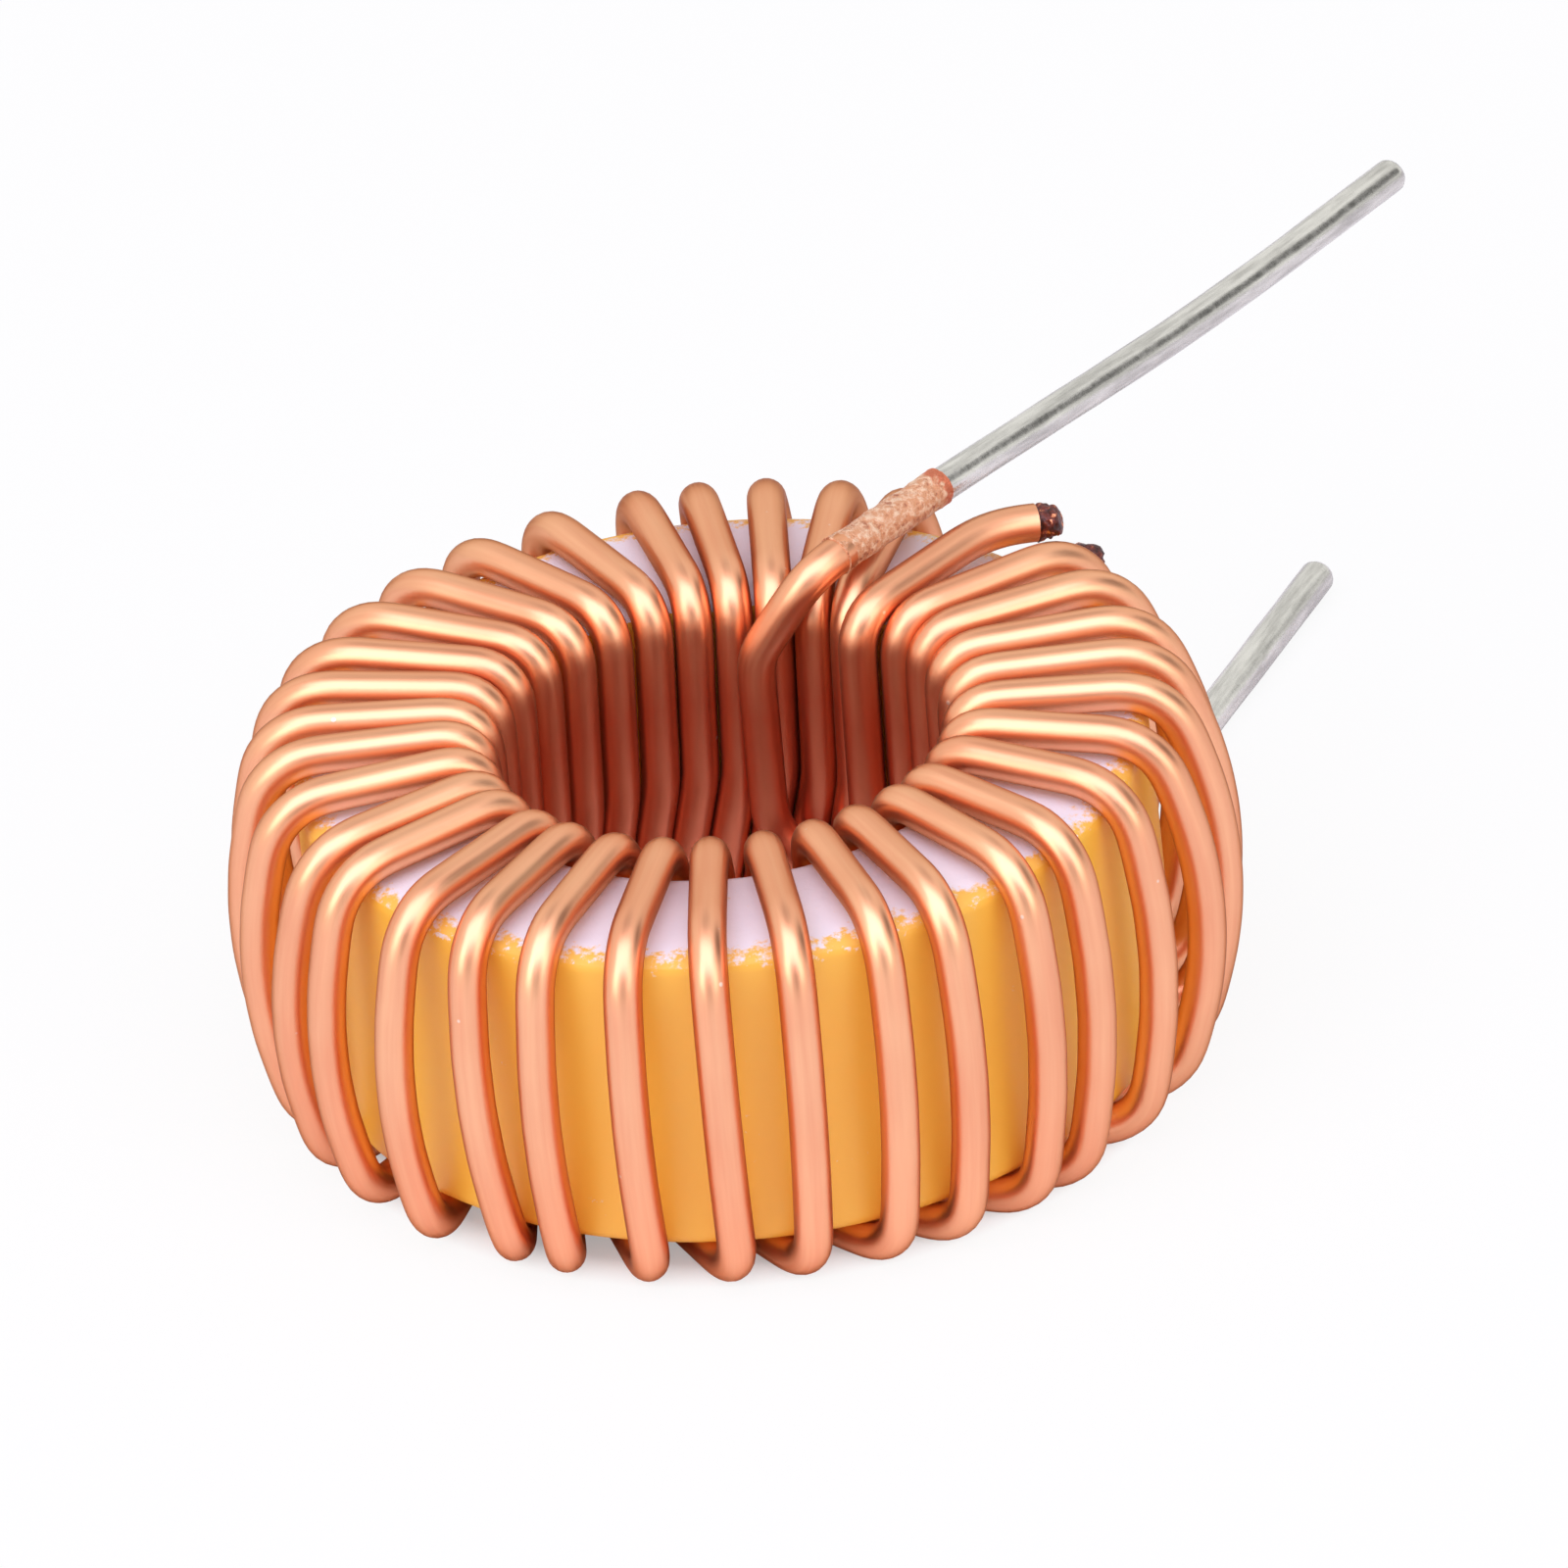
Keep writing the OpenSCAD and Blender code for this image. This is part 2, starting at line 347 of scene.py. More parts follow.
@dataclass(frozen=True)
class EnamelledCopper(Finish):
    """Drawn copper wire under a baked polyurethane enamel.

    The metal gives the satin bands of light along each pass and turns deep red where passes face each other;
    deep in the hole that red is also painted shade. The thin amber enamel makes the copper salmon and darkens
    its edge.

    Attributes:
        light: The lighter copper of the drawing streaks.
        deep: The deeper copper of the drawing streaks.
        inner: The painted shade of the copper deep in the hole.
        edge: The tint of the gloss at a grazing angle.
        speck: The dust specks.
        roughness: The mean roughness.
        streak_mm: Width of the drawing streaks.
        drift_mm: Size of the slow changes of colour.
        speck_mm: Spacing of the cells that may hold a speck.
        peel_mm: Size of the enamel's waves.
        inside_mm: Distances from the axis between which the painted shade of the hole fades out.
        below_mm: Heights between which it fades out.
    """

    light: str = "#FFC094"
    deep: str = "#F8AE85"
    inner: str = "#F09A74"
    edge: str = "#8E6A55"
    speck: str = "#FFE3CF"
    roughness: float = 0.35
    streak_mm: float = 0.12
    drift_mm: float = 2.5
    speck_mm: float = 0.7
    peel_mm: float = 0.25
    inside_mm: tuple[float, float] = (3.3, 4.1)
    below_mm: tuple[float, float] = (4.2, 5.3)

    def shader(self, tree: Tree) -> Node:
        """Builds the enamel: lengthwise drawing streaks, slow colour drift, painted shade in the hole and a
        few dust specks.

        Args:
            tree: The material's node tree.

        Returns:
            The shader.
        """
        run = add_node(tree, "Attribute", {}, attribute_name="wire_run").outputs["Vector"]
        point = add_node(tree, "TexCoord", {}).outputs["Object"]
        # Drawing streaks: thin round the wire and long along it. The attribute is in millimetres.
        scale = (1 / self.streak_mm, 1 / self.streak_mm, 0.35)
        drawn = add_node(tree, "VectorMath", {0: run, 1: scale}, operation="MULTIPLY")
        fine = {"Scale": 1.0, "Detail": 3.0, "Roughness": 0.55}
        streaks = add_node(tree, "TexNoise", {"Vector": drawn, **fine})
        drift = add_node(tree, "TexNoise", {"Vector": point, "Scale": per_mm(self.drift_mm), "Detail": 2.0})
        mixed = add_node(tree, "Math", {0: streaks, 1: drift}, operation="ADD")
        tone = add_node(tree, "MapRange", {"Value": mixed, "From Min": 0.75, "From Max": 1.25})
        deep, light = srgb(self.deep), srgb(self.light)
        colour = add_node(tree, "Mix", {"Factor": tone, 6: deep, 7: light}, data_type="RGBA")
        # Painted shade: the enamel is painted a redder colour deep in the hole, below the shoulders of the
        # passes.
        axes = add_node(tree, "SeparateXYZ", {"Vector": point}).outputs
        flat = add_node(tree, "CombineXYZ", {"X": axes["X"], "Y": axes["Y"]})
        radius = add_node(tree, "VectorMath", {0: flat}, operation="LENGTH")
        near, far = (d * MM for d in self.inside_mm)
        fade = {"From Min": near, "From Max": far, "To Min": 1.0, "To Max": 0.0}
        inside = add_node(tree, "MapRange", {"Value": radius, **fade})
        low, high = (h * MM for h in self.below_mm)
        fade = {"From Min": low, "From Max": high, "To Min": 1.0, "To Max": 0.0}
        below = add_node(tree, "MapRange", {"Value": axes["Z"], **fade})
        hole = add_node(tree, "Math", {0: inside, 1: below}, operation="MULTIPLY")
        enamel_with_painted_shade = add_node(tree, "Mix", {"Factor": hole, 6: colour, 7: srgb(self.inner)}, data_type="RGBA")
        # Dust specks about 0.05 mm across, in about half of the cells.
        cells = add_node(tree, "TexVoronoi", {"Vector": point, "Scale": per_mm(self.speck_mm)}).outputs
        fade = {"From Min": 0.035, "From Max": 0.06, "To Min": 1.0, "To Max": 0.0}
        spot = add_node(tree, "MapRange", {"Value": cells["Distance"], **fade})
        pick = add_node(tree, "SeparateColor", {"Color": cells["Color"]}).outputs["Red"]
        some = add_node(tree, "Math", {0: pick, 1: 0.45}, operation="GREATER_THAN")
        speck = add_node(tree, "Math", {0: spot, 1: some}, operation="MULTIPLY")
        specked = add_node(tree, "Mix", {"Factor": speck, 6: enamel_with_painted_shade, 7: srgb(self.speck)}, data_type="RGBA")
        smooth, rough = self.roughness - 0.05, self.roughness + 0.06
        gloss = {"From Min": 0.3, "From Max": 0.7, "To Min": smooth, "To Max": rough}
        peel = add_node(tree, "TexNoise", {"Vector": point, "Scale": per_mm(self.peel_mm), "Detail": 2.0})
        proud = add_node(tree, "Math", {0: peel, 1: speck}, operation="ADD")
        return add_node(
            tree,
            "BsdfPrincipled",
            {
                "Base Color": specked,
                "Metallic": 0.97,
                "Specular Tint": srgb(self.edge),
                "Roughness": add_node(tree, "MapRange", {"Value": streaks, **gloss}),
                "Coat Weight": 0.14,
                "Coat Roughness": 0.25,
                "Coat IOR": 1.5,
                "Normal": add_node(tree, "Bump", {"Height": proud, "Strength": 0.1, "Distance": 0.02 * MM}),
            },
        )


@dataclass(frozen=True)
class EpoxyCoat(Finish):
    """Yellow epoxy powder coat, sprayed on the pressed ring and baked.

    A smooth, slightly glossy orange-yellow that mirrors the wires faintly. Towards the upper edge it is
    broken by specks of the white coat.

    Attributes:
        colour: The brighter yellow.
        shade: The deeper yellow.
        white: The white specks.
        edge_z: Height of the coat's upper edge.
        fade_mm: How far below that edge the specks reach.
        slow_mm: Size of the slow changes of colour.
        speck_mm: Size of the specks.
        patch_mm: Size of the patches that hold more of them.
        peel_mm: Size of the coat's waves.
    """

    colour: str = "#FFCD4E"
    shade: str = "#FFC246"
    white: str = "#F6F0EC"
    edge_z: float = 5.31
    fade_mm: float = 0.3
    slow_mm: float = 1.8
    speck_mm: float = 0.16
    patch_mm: float = 0.8
    peel_mm: float = 0.5

    def shader(self, tree: Tree) -> Node:
        """Builds the coat with its white specks below the upper edge.

        Args:
            tree: The material's node tree.

        Returns:
            The shader.
        """
        point = add_node(tree, "TexCoord", {}).outputs["Object"]
        height = add_node(tree, "SeparateXYZ", {"Vector": point}).outputs["Z"]
        slow = add_node(tree, "TexNoise", {"Vector": point, "Scale": per_mm(self.slow_mm), "Detail": 3.0})
        shade, colour = srgb(self.shade), srgb(self.colour)
        base = add_node(tree, "Mix", {"Factor": slow, 6: shade, 7: colour}, data_type="RGBA")
        # How far up the edge: 0 well below it and 1 at it.
        low, high = (self.edge_z - self.fade_mm) * MM, self.edge_z * MM
        rise = add_node(tree, "MapRange", {"Value": height, "From Min": low, "From Max": high})
        fine = {"Scale": per_mm(self.speck_mm), "Detail": 4.0, "Roughness": 0.7}
        grain = add_node(tree, "TexNoise", {"Vector": point, **fine})
        patch = add_node(tree, "TexNoise", {"Vector": point, "Scale": per_mm(self.patch_mm), "Detail": 2.0})
        both = add_node(tree, "Math", {0: grain, 1: 2.0, 2: patch}, operation="MULTIPLY_ADD")
        reach = add_node(tree, "Math", {0: rise, 1: 0.35, 2: both}, operation="MULTIPLY_ADD")
        cover = add_node(tree, "MapRange", {"Value": reach, "From Min": 1.99, "From Max": 2.22})
        peel = add_node(tree, "TexNoise", {"Vector": point, "Scale": per_mm(self.peel_mm), "Detail": 2.0})
        return add_node(
            tree,
            "BsdfPrincipled",
            {
                "Base Color": add_node(
                    tree, "Mix", {"Factor": cover, 6: base, 7: srgb(self.white)}, data_type="RGBA"
                ),
                "Roughness": 0.38,
                "IOR": 1.52,
                "Normal": add_node(tree, "Bump", {"Height": peel, "Strength": 0.25, "Distance": 0.03 * MM}),
            },
        )


@dataclass(frozen=True)
class WhiteCoat(Finish):
    """White epoxy coat, brushed on the upper face.

    Chalky white with a cold tint and fine grain. It thins out at the rim, where yellow shows through.

    Attributes:
        colour: The brighter white.
        shade: The deeper white.
        yellow: The coat below, where it shows.
        rim_r: Distance from the axis at which the white ends.
        fade_mm: Width of the speckled rim inside it.
        grain_mm: Size of the grain.
        patch_mm: Size of the patches of deeper white.
    """

    colour: str = "#FAFBFF"
    shade: str = "#F2F2FA"
    yellow: str = "#FFCB58"
    rim_r: float = 6.33
    fade_mm: float = 0.62
    grain_mm: float = 0.14
    patch_mm: float = 0.7

    def shader(self, tree: Tree) -> Node:
        """Builds the white coat with its thin, speckled rim.

        Args:
            tree: The material's node tree.

        Returns:
            The shader.
        """
        point = add_node(tree, "TexCoord", {}).outputs["Object"]
        axes = add_node(tree, "SeparateXYZ", {"Vector": point}).outputs
        flat = add_node(tree, "CombineXYZ", {"X": axes["X"], "Y": axes["Y"]})
        radius = add_node(tree, "VectorMath", {0: flat}, operation="LENGTH")
        near, far = (self.rim_r - self.fade_mm) * MM, self.rim_r * MM
        rim = add_node(tree, "MapRange", {"Value": radius, "From Min": near, "From Max": far})
        fine = {"Scale": per_mm(self.grain_mm), "Detail": 4.0, "Roughness": 0.7}
        grain = add_node(tree, "TexNoise", {"Vector": point, **fine})
        patch = add_node(tree, "TexNoise", {"Vector": point, "Scale": per_mm(self.patch_mm), "Detail": 2.0})
        shade, colour = srgb(self.shade), srgb(self.colour)
        base = add_node(tree, "Mix", {"Factor": patch, 6: shade, 7: colour}, data_type="RGBA")
        both = add_node(tree, "Math", {0: grain, 1: 2.0, 2: patch}, operation="MULTIPLY_ADD")
        reach = add_node(tree, "Math", {0: both, 1: rim}, operation="ADD")
        cover = add_node(tree, "MapRange", {"Value": reach, "From Min": 1.95, "From Max": 2.3})
        return add_node(
            tree,
            "BsdfPrincipled",
            {
                "Base Color": add_node(
                    tree, "Mix", {"Factor": cover, 6: base, 7: srgb(self.yellow)}, data_type="RGBA"
                ),
                "Roughness": 0.6,
                "IOR": 1.5,
                "Normal": add_node(tree, "Bump", {"Height": grain, "Strength": 0.35, "Distance": 0.03 * MM}),
            },
        )


@dataclass(frozen=True)
class DippedTin(Finish):
    """Copper wire dipped in molten tin and wiped.

    A bright, streaky silver with faint ripples along the wire, where the tin ran as it set.

    Attributes:
        light: The brighter silver.
        dull: The duller silver.
        roughness: The mean roughness.
        streak_mm: Width of the streaks.
    """

    light: str = "#E9E7DF"
    dull: str = "#BFBDB6"
    roughness: float = 0.24
    streak_mm: float = 0.16

    def shader(self, tree: Tree) -> Node:
        """Builds the tin: lengthwise streaks in colour, gloss and height.

        Args:
            tree: The material's node tree.

        Returns:
            The shader.
        """
        run = add_node(tree, "Attribute", {}, attribute_name="wire_run").outputs["Vector"]
        scale = (1 / self.streak_mm, 1 / self.streak_mm, 0.8)
        drawn = add_node(tree, "VectorMath", {0: run, 1: scale}, operation="MULTIPLY")
        fine = {"Scale": 1.0, "Detail": 4.0, "Roughness": 0.65}
        streaks = add_node(tree, "TexNoise", {"Vector": drawn, **fine})
        grain = add_node(tree, "TexNoise", {"Vector": run, "Scale": 9.0, "Detail": 4.0, "Roughness": 0.7})
        tone = add_node(tree, "MapRange", {"Value": streaks, "From Min": 0.35, "From Max": 0.62})
        dull, light = srgb(self.dull), srgb(self.light)
        smooth, rough = self.roughness - 0.04, self.roughness + 0.1
        gloss = {"From Min": 0.3, "From Max": 0.7, "To Min": smooth, "To Max": rough}
        height = add_node(tree, "Math", {0: streaks, 1: grain}, operation="ADD")
        return add_node(
            tree,
            "BsdfPrincipled",
            {
                "Base Color": add_node(tree, "Mix", {"Factor": tone, 6: dull, 7: light}, data_type="RGBA"),
                "Metallic": 1.0,
                "Roughness": add_node(tree, "MapRange", {"Value": grain, **gloss}),
                "Normal": add_node(tree, "Bump", {"Height": height, "Strength": 0.09, "Distance": 0.03 * MM}),
            },
        )


@dataclass(frozen=True)
class ScrapedEnamel(Finish):
    """Enamel scraped and crumpled on the copper before the end was tinned.

    A dry, crusty tan with pale flakes, painted shade in its hollows and bare copper next to the tin.

    Attributes:
        crust: The crumpled enamel.
        pale: Its flakes.
        hollow_shade: The painted shade in the crust's hollows.
        bare: The bare copper.
        bare_from: How far along the crust the copper is bare, in millimetres.
        flake_mm: Size of the flakes.
        fold_mm: Size of the folds.
    """

    crust: str = "#E2A274"
    pale: str = "#FAD9B4"
    hollow_shade: str = "#A8593A"
    bare: str = "#D98260"
    bare_from: float = 2.2
    flake_mm: float = 0.11
    fold_mm: float = 0.3

    def shader(self, tree: Tree) -> Node:
        """Builds the crust: pale flakes, painted shade in its hollows, a rough bump and bare copper next to
        the tin.

        Args:
            tree: The material's node tree.

        Returns:
            The shader.
        """
        point = add_node(tree, "TexCoord", {}).outputs["Object"]
        dry = {"Scale": per_mm(self.flake_mm), "Detail": 5.0, "Roughness": 0.75}
        flakes = add_node(tree, "TexNoise", {"Vector": point, **dry})
        creased = {"Scale": per_mm(self.fold_mm), "Detail": 3.0, "Roughness": 0.6, "Distortion": 1.2}
        folds = add_node(tree, "TexNoise", {"Vector": point, **creased})
        tone = add_node(tree, "MapRange", {"Value": flakes, "From Min": 0.46, "From Max": 0.62})
        crust, pale = srgb(self.crust), srgb(self.pale)
        colour = add_node(tree, "Mix", {"Factor": tone, 6: crust, 7: pale}, data_type="RGBA")
        both = add_node(tree, "Math", {0: flakes, 1: folds}, operation="ADD")
        # Painted shade: the crust is painted darker where its bump is lowest, in the hollows of the folds.
        pits = {"From Min": 0.76, "From Max": 0.92, "To Min": 0.85, "To Max": 0.0}
        dark = add_node(tree, "MapRange", {"Value": both, **pits})
        crust_with_painted_shade = add_node(tree, "Mix", {"Factor": dark, 6: colour, 7: srgb(self.hollow_shade)}, data_type="RGBA")
        # Bare copper next to the tin. The folds make the end of the crust ragged.
        run = add_node(tree, "Attribute", {}, attribute_name="wire_run").outputs["Vector"]
        along = add_node(tree, "SeparateXYZ", {"Vector": run}).outputs["Z"]
        ragged = add_node(tree, "Math", {0: folds, 1: 0.6, 2: along}, operation="MULTIPLY_ADD")
        ends = {"From Min": self.bare_from + 0.28, "From Max": self.bare_from + 0.36}
        scraped = add_node(tree, "MapRange", {"Value": ragged, **ends})
        shown = add_node(tree, "Mix", {"Factor": scraped, 6: crust_with_painted_shade, 7: srgb(self.bare)}, data_type="RGBA")
        return add_node(
            tree,
            "BsdfPrincipled",
            {
                "Base Color": shown,
                "Metallic": scraped,
                "Roughness": 0.5,
                "IOR": 1.5,
                "Normal": add_node(tree, "Bump", {"Height": both, "Strength": 0.8, "Distance": 0.05 * MM}),
            },
        )


@dataclass(frozen=True)
class CharredEnd(Finish):
    """Copper end whose enamel was burnt off with a flame.

    Black-red char, glossy where it melted, with glints of copper where it flaked.

    Attributes:
        char: The darker char.
        rust: The redder char.
        glint: The copper that shows.
        blotch_mm: Size of the blotches.
    """

    char: str = "#3A1410"
    rust: str = "#8A3624"
    glint: str = "#F0A47A"
    blotch_mm: float = 0.14

    def shader(self, tree: Tree) -> Node:
        """Builds the char with its copper glints.

        Args:
            tree: The material's node tree.

        Returns:
            The shader.
        """
        point = add_node(tree, "TexCoord", {}).outputs["Object"]
        melted = {"Scale": per_mm(self.blotch_mm), "Detail": 4.0, "Roughness": 0.65}
        blotch = add_node(tree, "TexNoise", {"Vector": point, **melted})
        tone = add_node(tree, "MapRange", {"Value": blotch, "From Min": 0.4, "From Max": 0.65})
        char, rust = srgb(self.char), srgb(self.rust)
        colour = add_node(tree, "Mix", {"Factor": tone, 6: char, 7: rust}, data_type="RGBA")
        flake = add_node(tree, "MapRange", {"Value": blotch, "From Min": 0.57, "From Max": 0.63})
        return add_node(
            tree,
            "BsdfPrincipled",
            {
                "Base Color": add_node(
                    tree, "Mix", {"Factor": flake, 6: colour, 7: srgb(self.glint)}, data_type="RGBA"
                ),
                "Metallic": flake,
                "Roughness": 0.35,
                "IOR": 1.5,
                "Normal": add_node(tree, "Bump", {"Height": blotch, "Strength": 0.8, "Distance": 0.05 * MM}),
            },
        )


@dataclass(frozen=True)
class PaperSweep(Finish):
    """Matt white paper under the object.

    It reads as plain white round the part; under the part its share of plain white drops, a painted shadow
    besides the part's own shadow on the matt paper.

    Attributes:
        colour: The paper.
        glow: The share of plain white that the camera sees round the part.
        shade: That share under the part, which paints a shadow there.
        under_mm: Distances from the axis between which the painted shadow fades out.
    """

    colour: str = "#F4F4F4"
    glow: float = 0.9
    shade: float = 0.35
    under_mm: tuple[float, float] = (5.8, 6.5)

    def shader(self, tree: Tree) -> Node:
        """Builds the paper: matt white, with a share of plain white for the camera alone and a painted shadow
        under the part.

        Args:
            tree: The material's node tree.

        Returns:
            The shader.
        """
        paper = add_node(tree, "BsdfDiffuse", {"Color": srgb(self.colour)})
        white = add_node(tree, "Emission", {"Strength": 1.0})
        seen = add_node(tree, "LightPath", {}).outputs["Is Camera Ray"]
        point = add_node(tree, "TexCoord", {}).outputs["Object"]
        away = add_node(tree, "VectorMath", {0: point}, operation="LENGTH")
        # Painted shadow: the camera's share of plain white drops from glow to shade under the part.
        near, far = (d * MM for d in self.under_mm)
        light = {"From Min": near, "From Max": far, "To Min": self.shade, "To Max": self.glow}
        glow_with_painted_shadow = add_node(tree, "MapRange", {"Value": away, **light})
        share = add_node(tree, "Math", {0: seen, 1: glow_with_painted_shadow}, operation="MULTIPLY")
        return add_node(tree, "MixShader", {0: share, 1: paper, 2: white})


# ---- The ring and its coats ----


@dataclass
class CoatedRing:
    """The pressed powder ring in its yellow coat, with a white coat on the upper face.

    Attributes:
        outer_d: Outer diameter.
        inner_d: Inner diameter.
        height: Height, coats included.
        edge: Rounding of the edges.
        coat: Thickness of the white coat.
        base_z: Height of the lower face.
        segments: Segments round the ring.
        lumps: How far the sprayed surface dips at most.
        lump_rate: How quickly the dips follow each other, in each millimetre.
    """

    outer_d: float = 12.7
    inner_d: float = 7.7
    height: float = 4.95
    edge: float = 0.25
    coat: float = 0.12
    base_z: float = 0.6
    segments: int = 360
    lumps: float = 0.02
    lump_rate: float = 0.9

    def profile(self, low: float, high: float) -> list[tuple[float, float]]:
        """The rounded section between two heights above the lower face.

        Args:
            low: The lower height.
            high: The upper height.

        Returns:
            Radius and height of each point, round the section.
        """
        rounding, wall_steps = 7, 13
        stretches = (
            np.linspace(0.0, self.edge, rounding),
            np.linspace(self.height - self.edge, self.height, rounding),
            np.linspace(self.edge, self.height - self.edge, wall_steps),
        )
        levels = sorted({low, high, *[h for stretch in stretches for h in stretch if low <= h <= high]})
        points: list[tuple[float, float]] = []
        for sign, radius in ((1, self.outer_d / 2), (-1, self.inner_d / 2)):
            wall = []
            for h in levels:
                reach = max(self.edge - h, h - (self.height - self.edge), 0.0)
                inset = self.edge - math.sqrt(max(self.edge**2 - reach**2, 0.0))
                wall.append((radius - sign * inset, h))
            points += wall if sign > 0 else wall[::-1]
        return points

    def lathe(self, name: str, low: float, high: float) -> Piece:
        """Turns the section round the axis, with the soft lumps of a sprayed coat.

        Args:
            name: The object's name.
            low: The lower height of the section.
            high: The upper height of the section.

        Returns:
            The new object.
        """
        section = self.profile(low, high)
        points = []
        for i in range(self.segments):
            angle = 360 * i / self.segments
            for r, h in section:
                p = at(r, angle, self.base_z + h)
                dip = self.lumps * (noise.noise(Vector(p) * self.lump_rate) - 1) / 2
                wall = 1 if r > (self.outer_d + self.inner_d) / 4 else -1
                p[:2] *= (r + wall * dip) / r
                points.append(p)
        n = len(section)
        faces = []
        for i in range(self.segments):
            a, b = i * n, (i + 1) % self.segments * n
            faces += [(a + k, b + k, b + (k + 1) % n, a + (k + 1) % n) for k in range(n)]
        return mesh_object(name, np.array(points), faces)

    def build(self) -> list[Piece]:
        """Builds and dresses the yellow ring and the white coat.

        Returns:
            The two pieces.
        """
        top = self.height - self.coat
        yellow = EpoxyCoat("epoxy_powder_coat_yellow", edge_z=self.base_z + top)
        white = WhiteCoat("epoxy_coat_white_brushed")
        ring = self.lathe("coated_core", 0.0, top)
        face = self.lathe("white_top_coat", top, self.height)
        return [
            dress(ring, yellow, Slot.CORE_COAT, "core"),
            dress(face, white, Slot.FACE_COAT, "white_face_coat"),
        ]


# ---- The winding ----


@dataclass
class Winding:
    """Two strands wound side by side round the ring, with their leads and clipped ends.

    Attributes:
        ring: The ring that they lie on.
        wire_d: Diameter over the enamel.
        enamel: Thickness of the enamel.
        gap: Clearance between the wire and the ring.
        lift: How far the first passes stand off the upper face.
        late_lift: How far the later passes stand off it.
        bow: How far the outer passes bow out at mid-height.
        taut_bow: How far the tauter ones among them bow.
        loose_bow: How far the looser ones bow.
        loose_stand: How far the looser ones stand off the ring's side besides.
        shoulder_slack: Extra radius of the upper outer bends.
        heel_slack: Extra radius of the lower outer bends.
        tin: Thickness of the tin on the copper.
        upper_tin_l: Length of the tinned upper lead.
        upper_root_l: Length of its first straight, up to its slight bend.
        lower_tin_l: Length of the tinned lower lead.
        scrape_l: Length of the scraped stretch of the upper lead.
        scrape_t: Thickness of the crumpled enamel there.
        char_l: Length of a burnt bead.
        char_t: How far it stands off the enamel.
        step: Distance between the points of a centre line.
        bow_reach: How far out a bow's corner lies, in bows.
        bow_share: Share of the straight beside a bow's corner that its bend takes up.
        under_l: Length of the radial stretch under the ring before the hole.
        first_taut: The first pass that bows less.
        first_loose: The first pass that stands off the side.
        last_loose: The last one.
        first_late: The first pass that lies closer to the upper face.
        crown: The angle of each pass at the hole's upper edge, in degrees.
        shoulder: Its angle at the outer upper edge.
        heel: Its angle at the outer lower edge.
    """

    ring: CoatedRing = field(default_factory=CoatedRing)
    wire_d: float = 0.58
    enamel: float = 0.04
    gap: float = 0.02
    lift: float = 0.08
    late_lift: float = 0.04
    bow: float = 0.58
    taut_bow: float = 0.38
    loose_bow: float = 0.46
    loose_stand: float = 0.08
    shoulder_slack: float = 0.42
    heel_slack: float = 0.2
    tin: float = 0.02
    upper_tin_l: float = 10.6
    upper_root_l: float = 6.0
    lower_tin_l: float = 4.7
    scrape_l: float = 2.0
    scrape_t: float = 0.06
    char_l: float = 0.42
    char_t: float = 0.03
    step: float = 0.13
    bow_reach: float = 1.6
    bow_share: float = 0.85
    under_l: float = 0.9
    first_taut: int = 6
    first_loose: int = 16
    last_loose: int = 24
    first_late: int = 21

    crown: tuple[float, ...] = (
        38, 28, 17.5, 6, -6, -16, -26.5, -38.5, -49, -60.5, -71.5,
        -83, -95, -105.5, -116.5, -129, -139, -151, -161, -171, -182, -192.5,
        -203, -214, -225, -236, -246.5, -257, -266.8, -276.6, -286.5, -296.3, -306,
    )  # fmt: skip
    shoulder: tuple[float, ...] = (
        33.5, 24, 13, 4, -5, -17, -29, -42, -51, -63, -72,
        -83.5, -94.5, -105.5, -117, -127, -136.5, -149, -156, -169, -180, -189,
        -198, -207, -217, -227.5, -238, -249.5, -262, -270, -279, -289, -298,
    )  # fmt: skip
    heel: tuple[float, ...] = (
        29, 19.5, 9.5, 0, -9.5, -20.5, -32, -45.5, -53.5, -64.5, -74,
        -85, -94.5, -105.5, -117, -124.5, -137.5, -150, -161, -171, -181, -190.5,
        -200.5, -210, -221, -232, -241.5, -252, -263, -271.5, -280, -290, -299.5,
    )  # fmt: skip

    def __post_init__(self) -> None:
        """Works out the radii and heights that the paths use."""
        self.wire_r = self.wire_d / 2
        self.copper_r = self.wire_r - self.enamel
        self.tin_r = self.copper_r + self.tin
        self.scrape_r = self.copper_r + self.scrape_t
        self.char_r = self.wire_r + self.char_t
        lay = self.wire_r + self.gap
        self.ri = self.ring.inner_d / 2 - lay
        self.ro = self.ring.outer_d / 2 + lay
        self.zt = self.ring.height / 2 + lay + self.lift
        self.zb = self.ring.height / 2 + lay
        self.mid_z = self.wire_d + self.gap + self.ring.height / 2
        self.bend_in = self.ring.edge + lay
        self.bend_top = self.bend_in + self.shoulder_slack
        self.bend_low = self.bend_in + self.heel_slack
        self.under_r = self.ri + self.under_l
        self.over_z = self.zt + self.wire_d + self.gap

    def foot(self, n: int) -> float:
        """Works out the angle at which a pass enters the hole from below.

        Args:
            n: The number of the pass, from 0.

        Returns:
            The angle in degrees.
        """
        first, half_way, late, feet = 36, 17, 10.0, 35
        early = (360 - (feet - half_way) * late) / half_way
        return first - early * min(n, half_way) - late * max(n - half_way, 0)

    def bow_bend(self, corner: float) -> float:
        """Works out the bend radius of a bow.

        Args:
            corner: How far out the bow's corner lies.

        Returns:
            The bend radius.
        """
        slope = math.atan2(corner, self.zt)
        leg = math.hypot(self.zt, corner) - self.bend_top * math.tan(math.pi / 4 - slope / 2)
        return self.bow_share * leg / math.tan(slope)

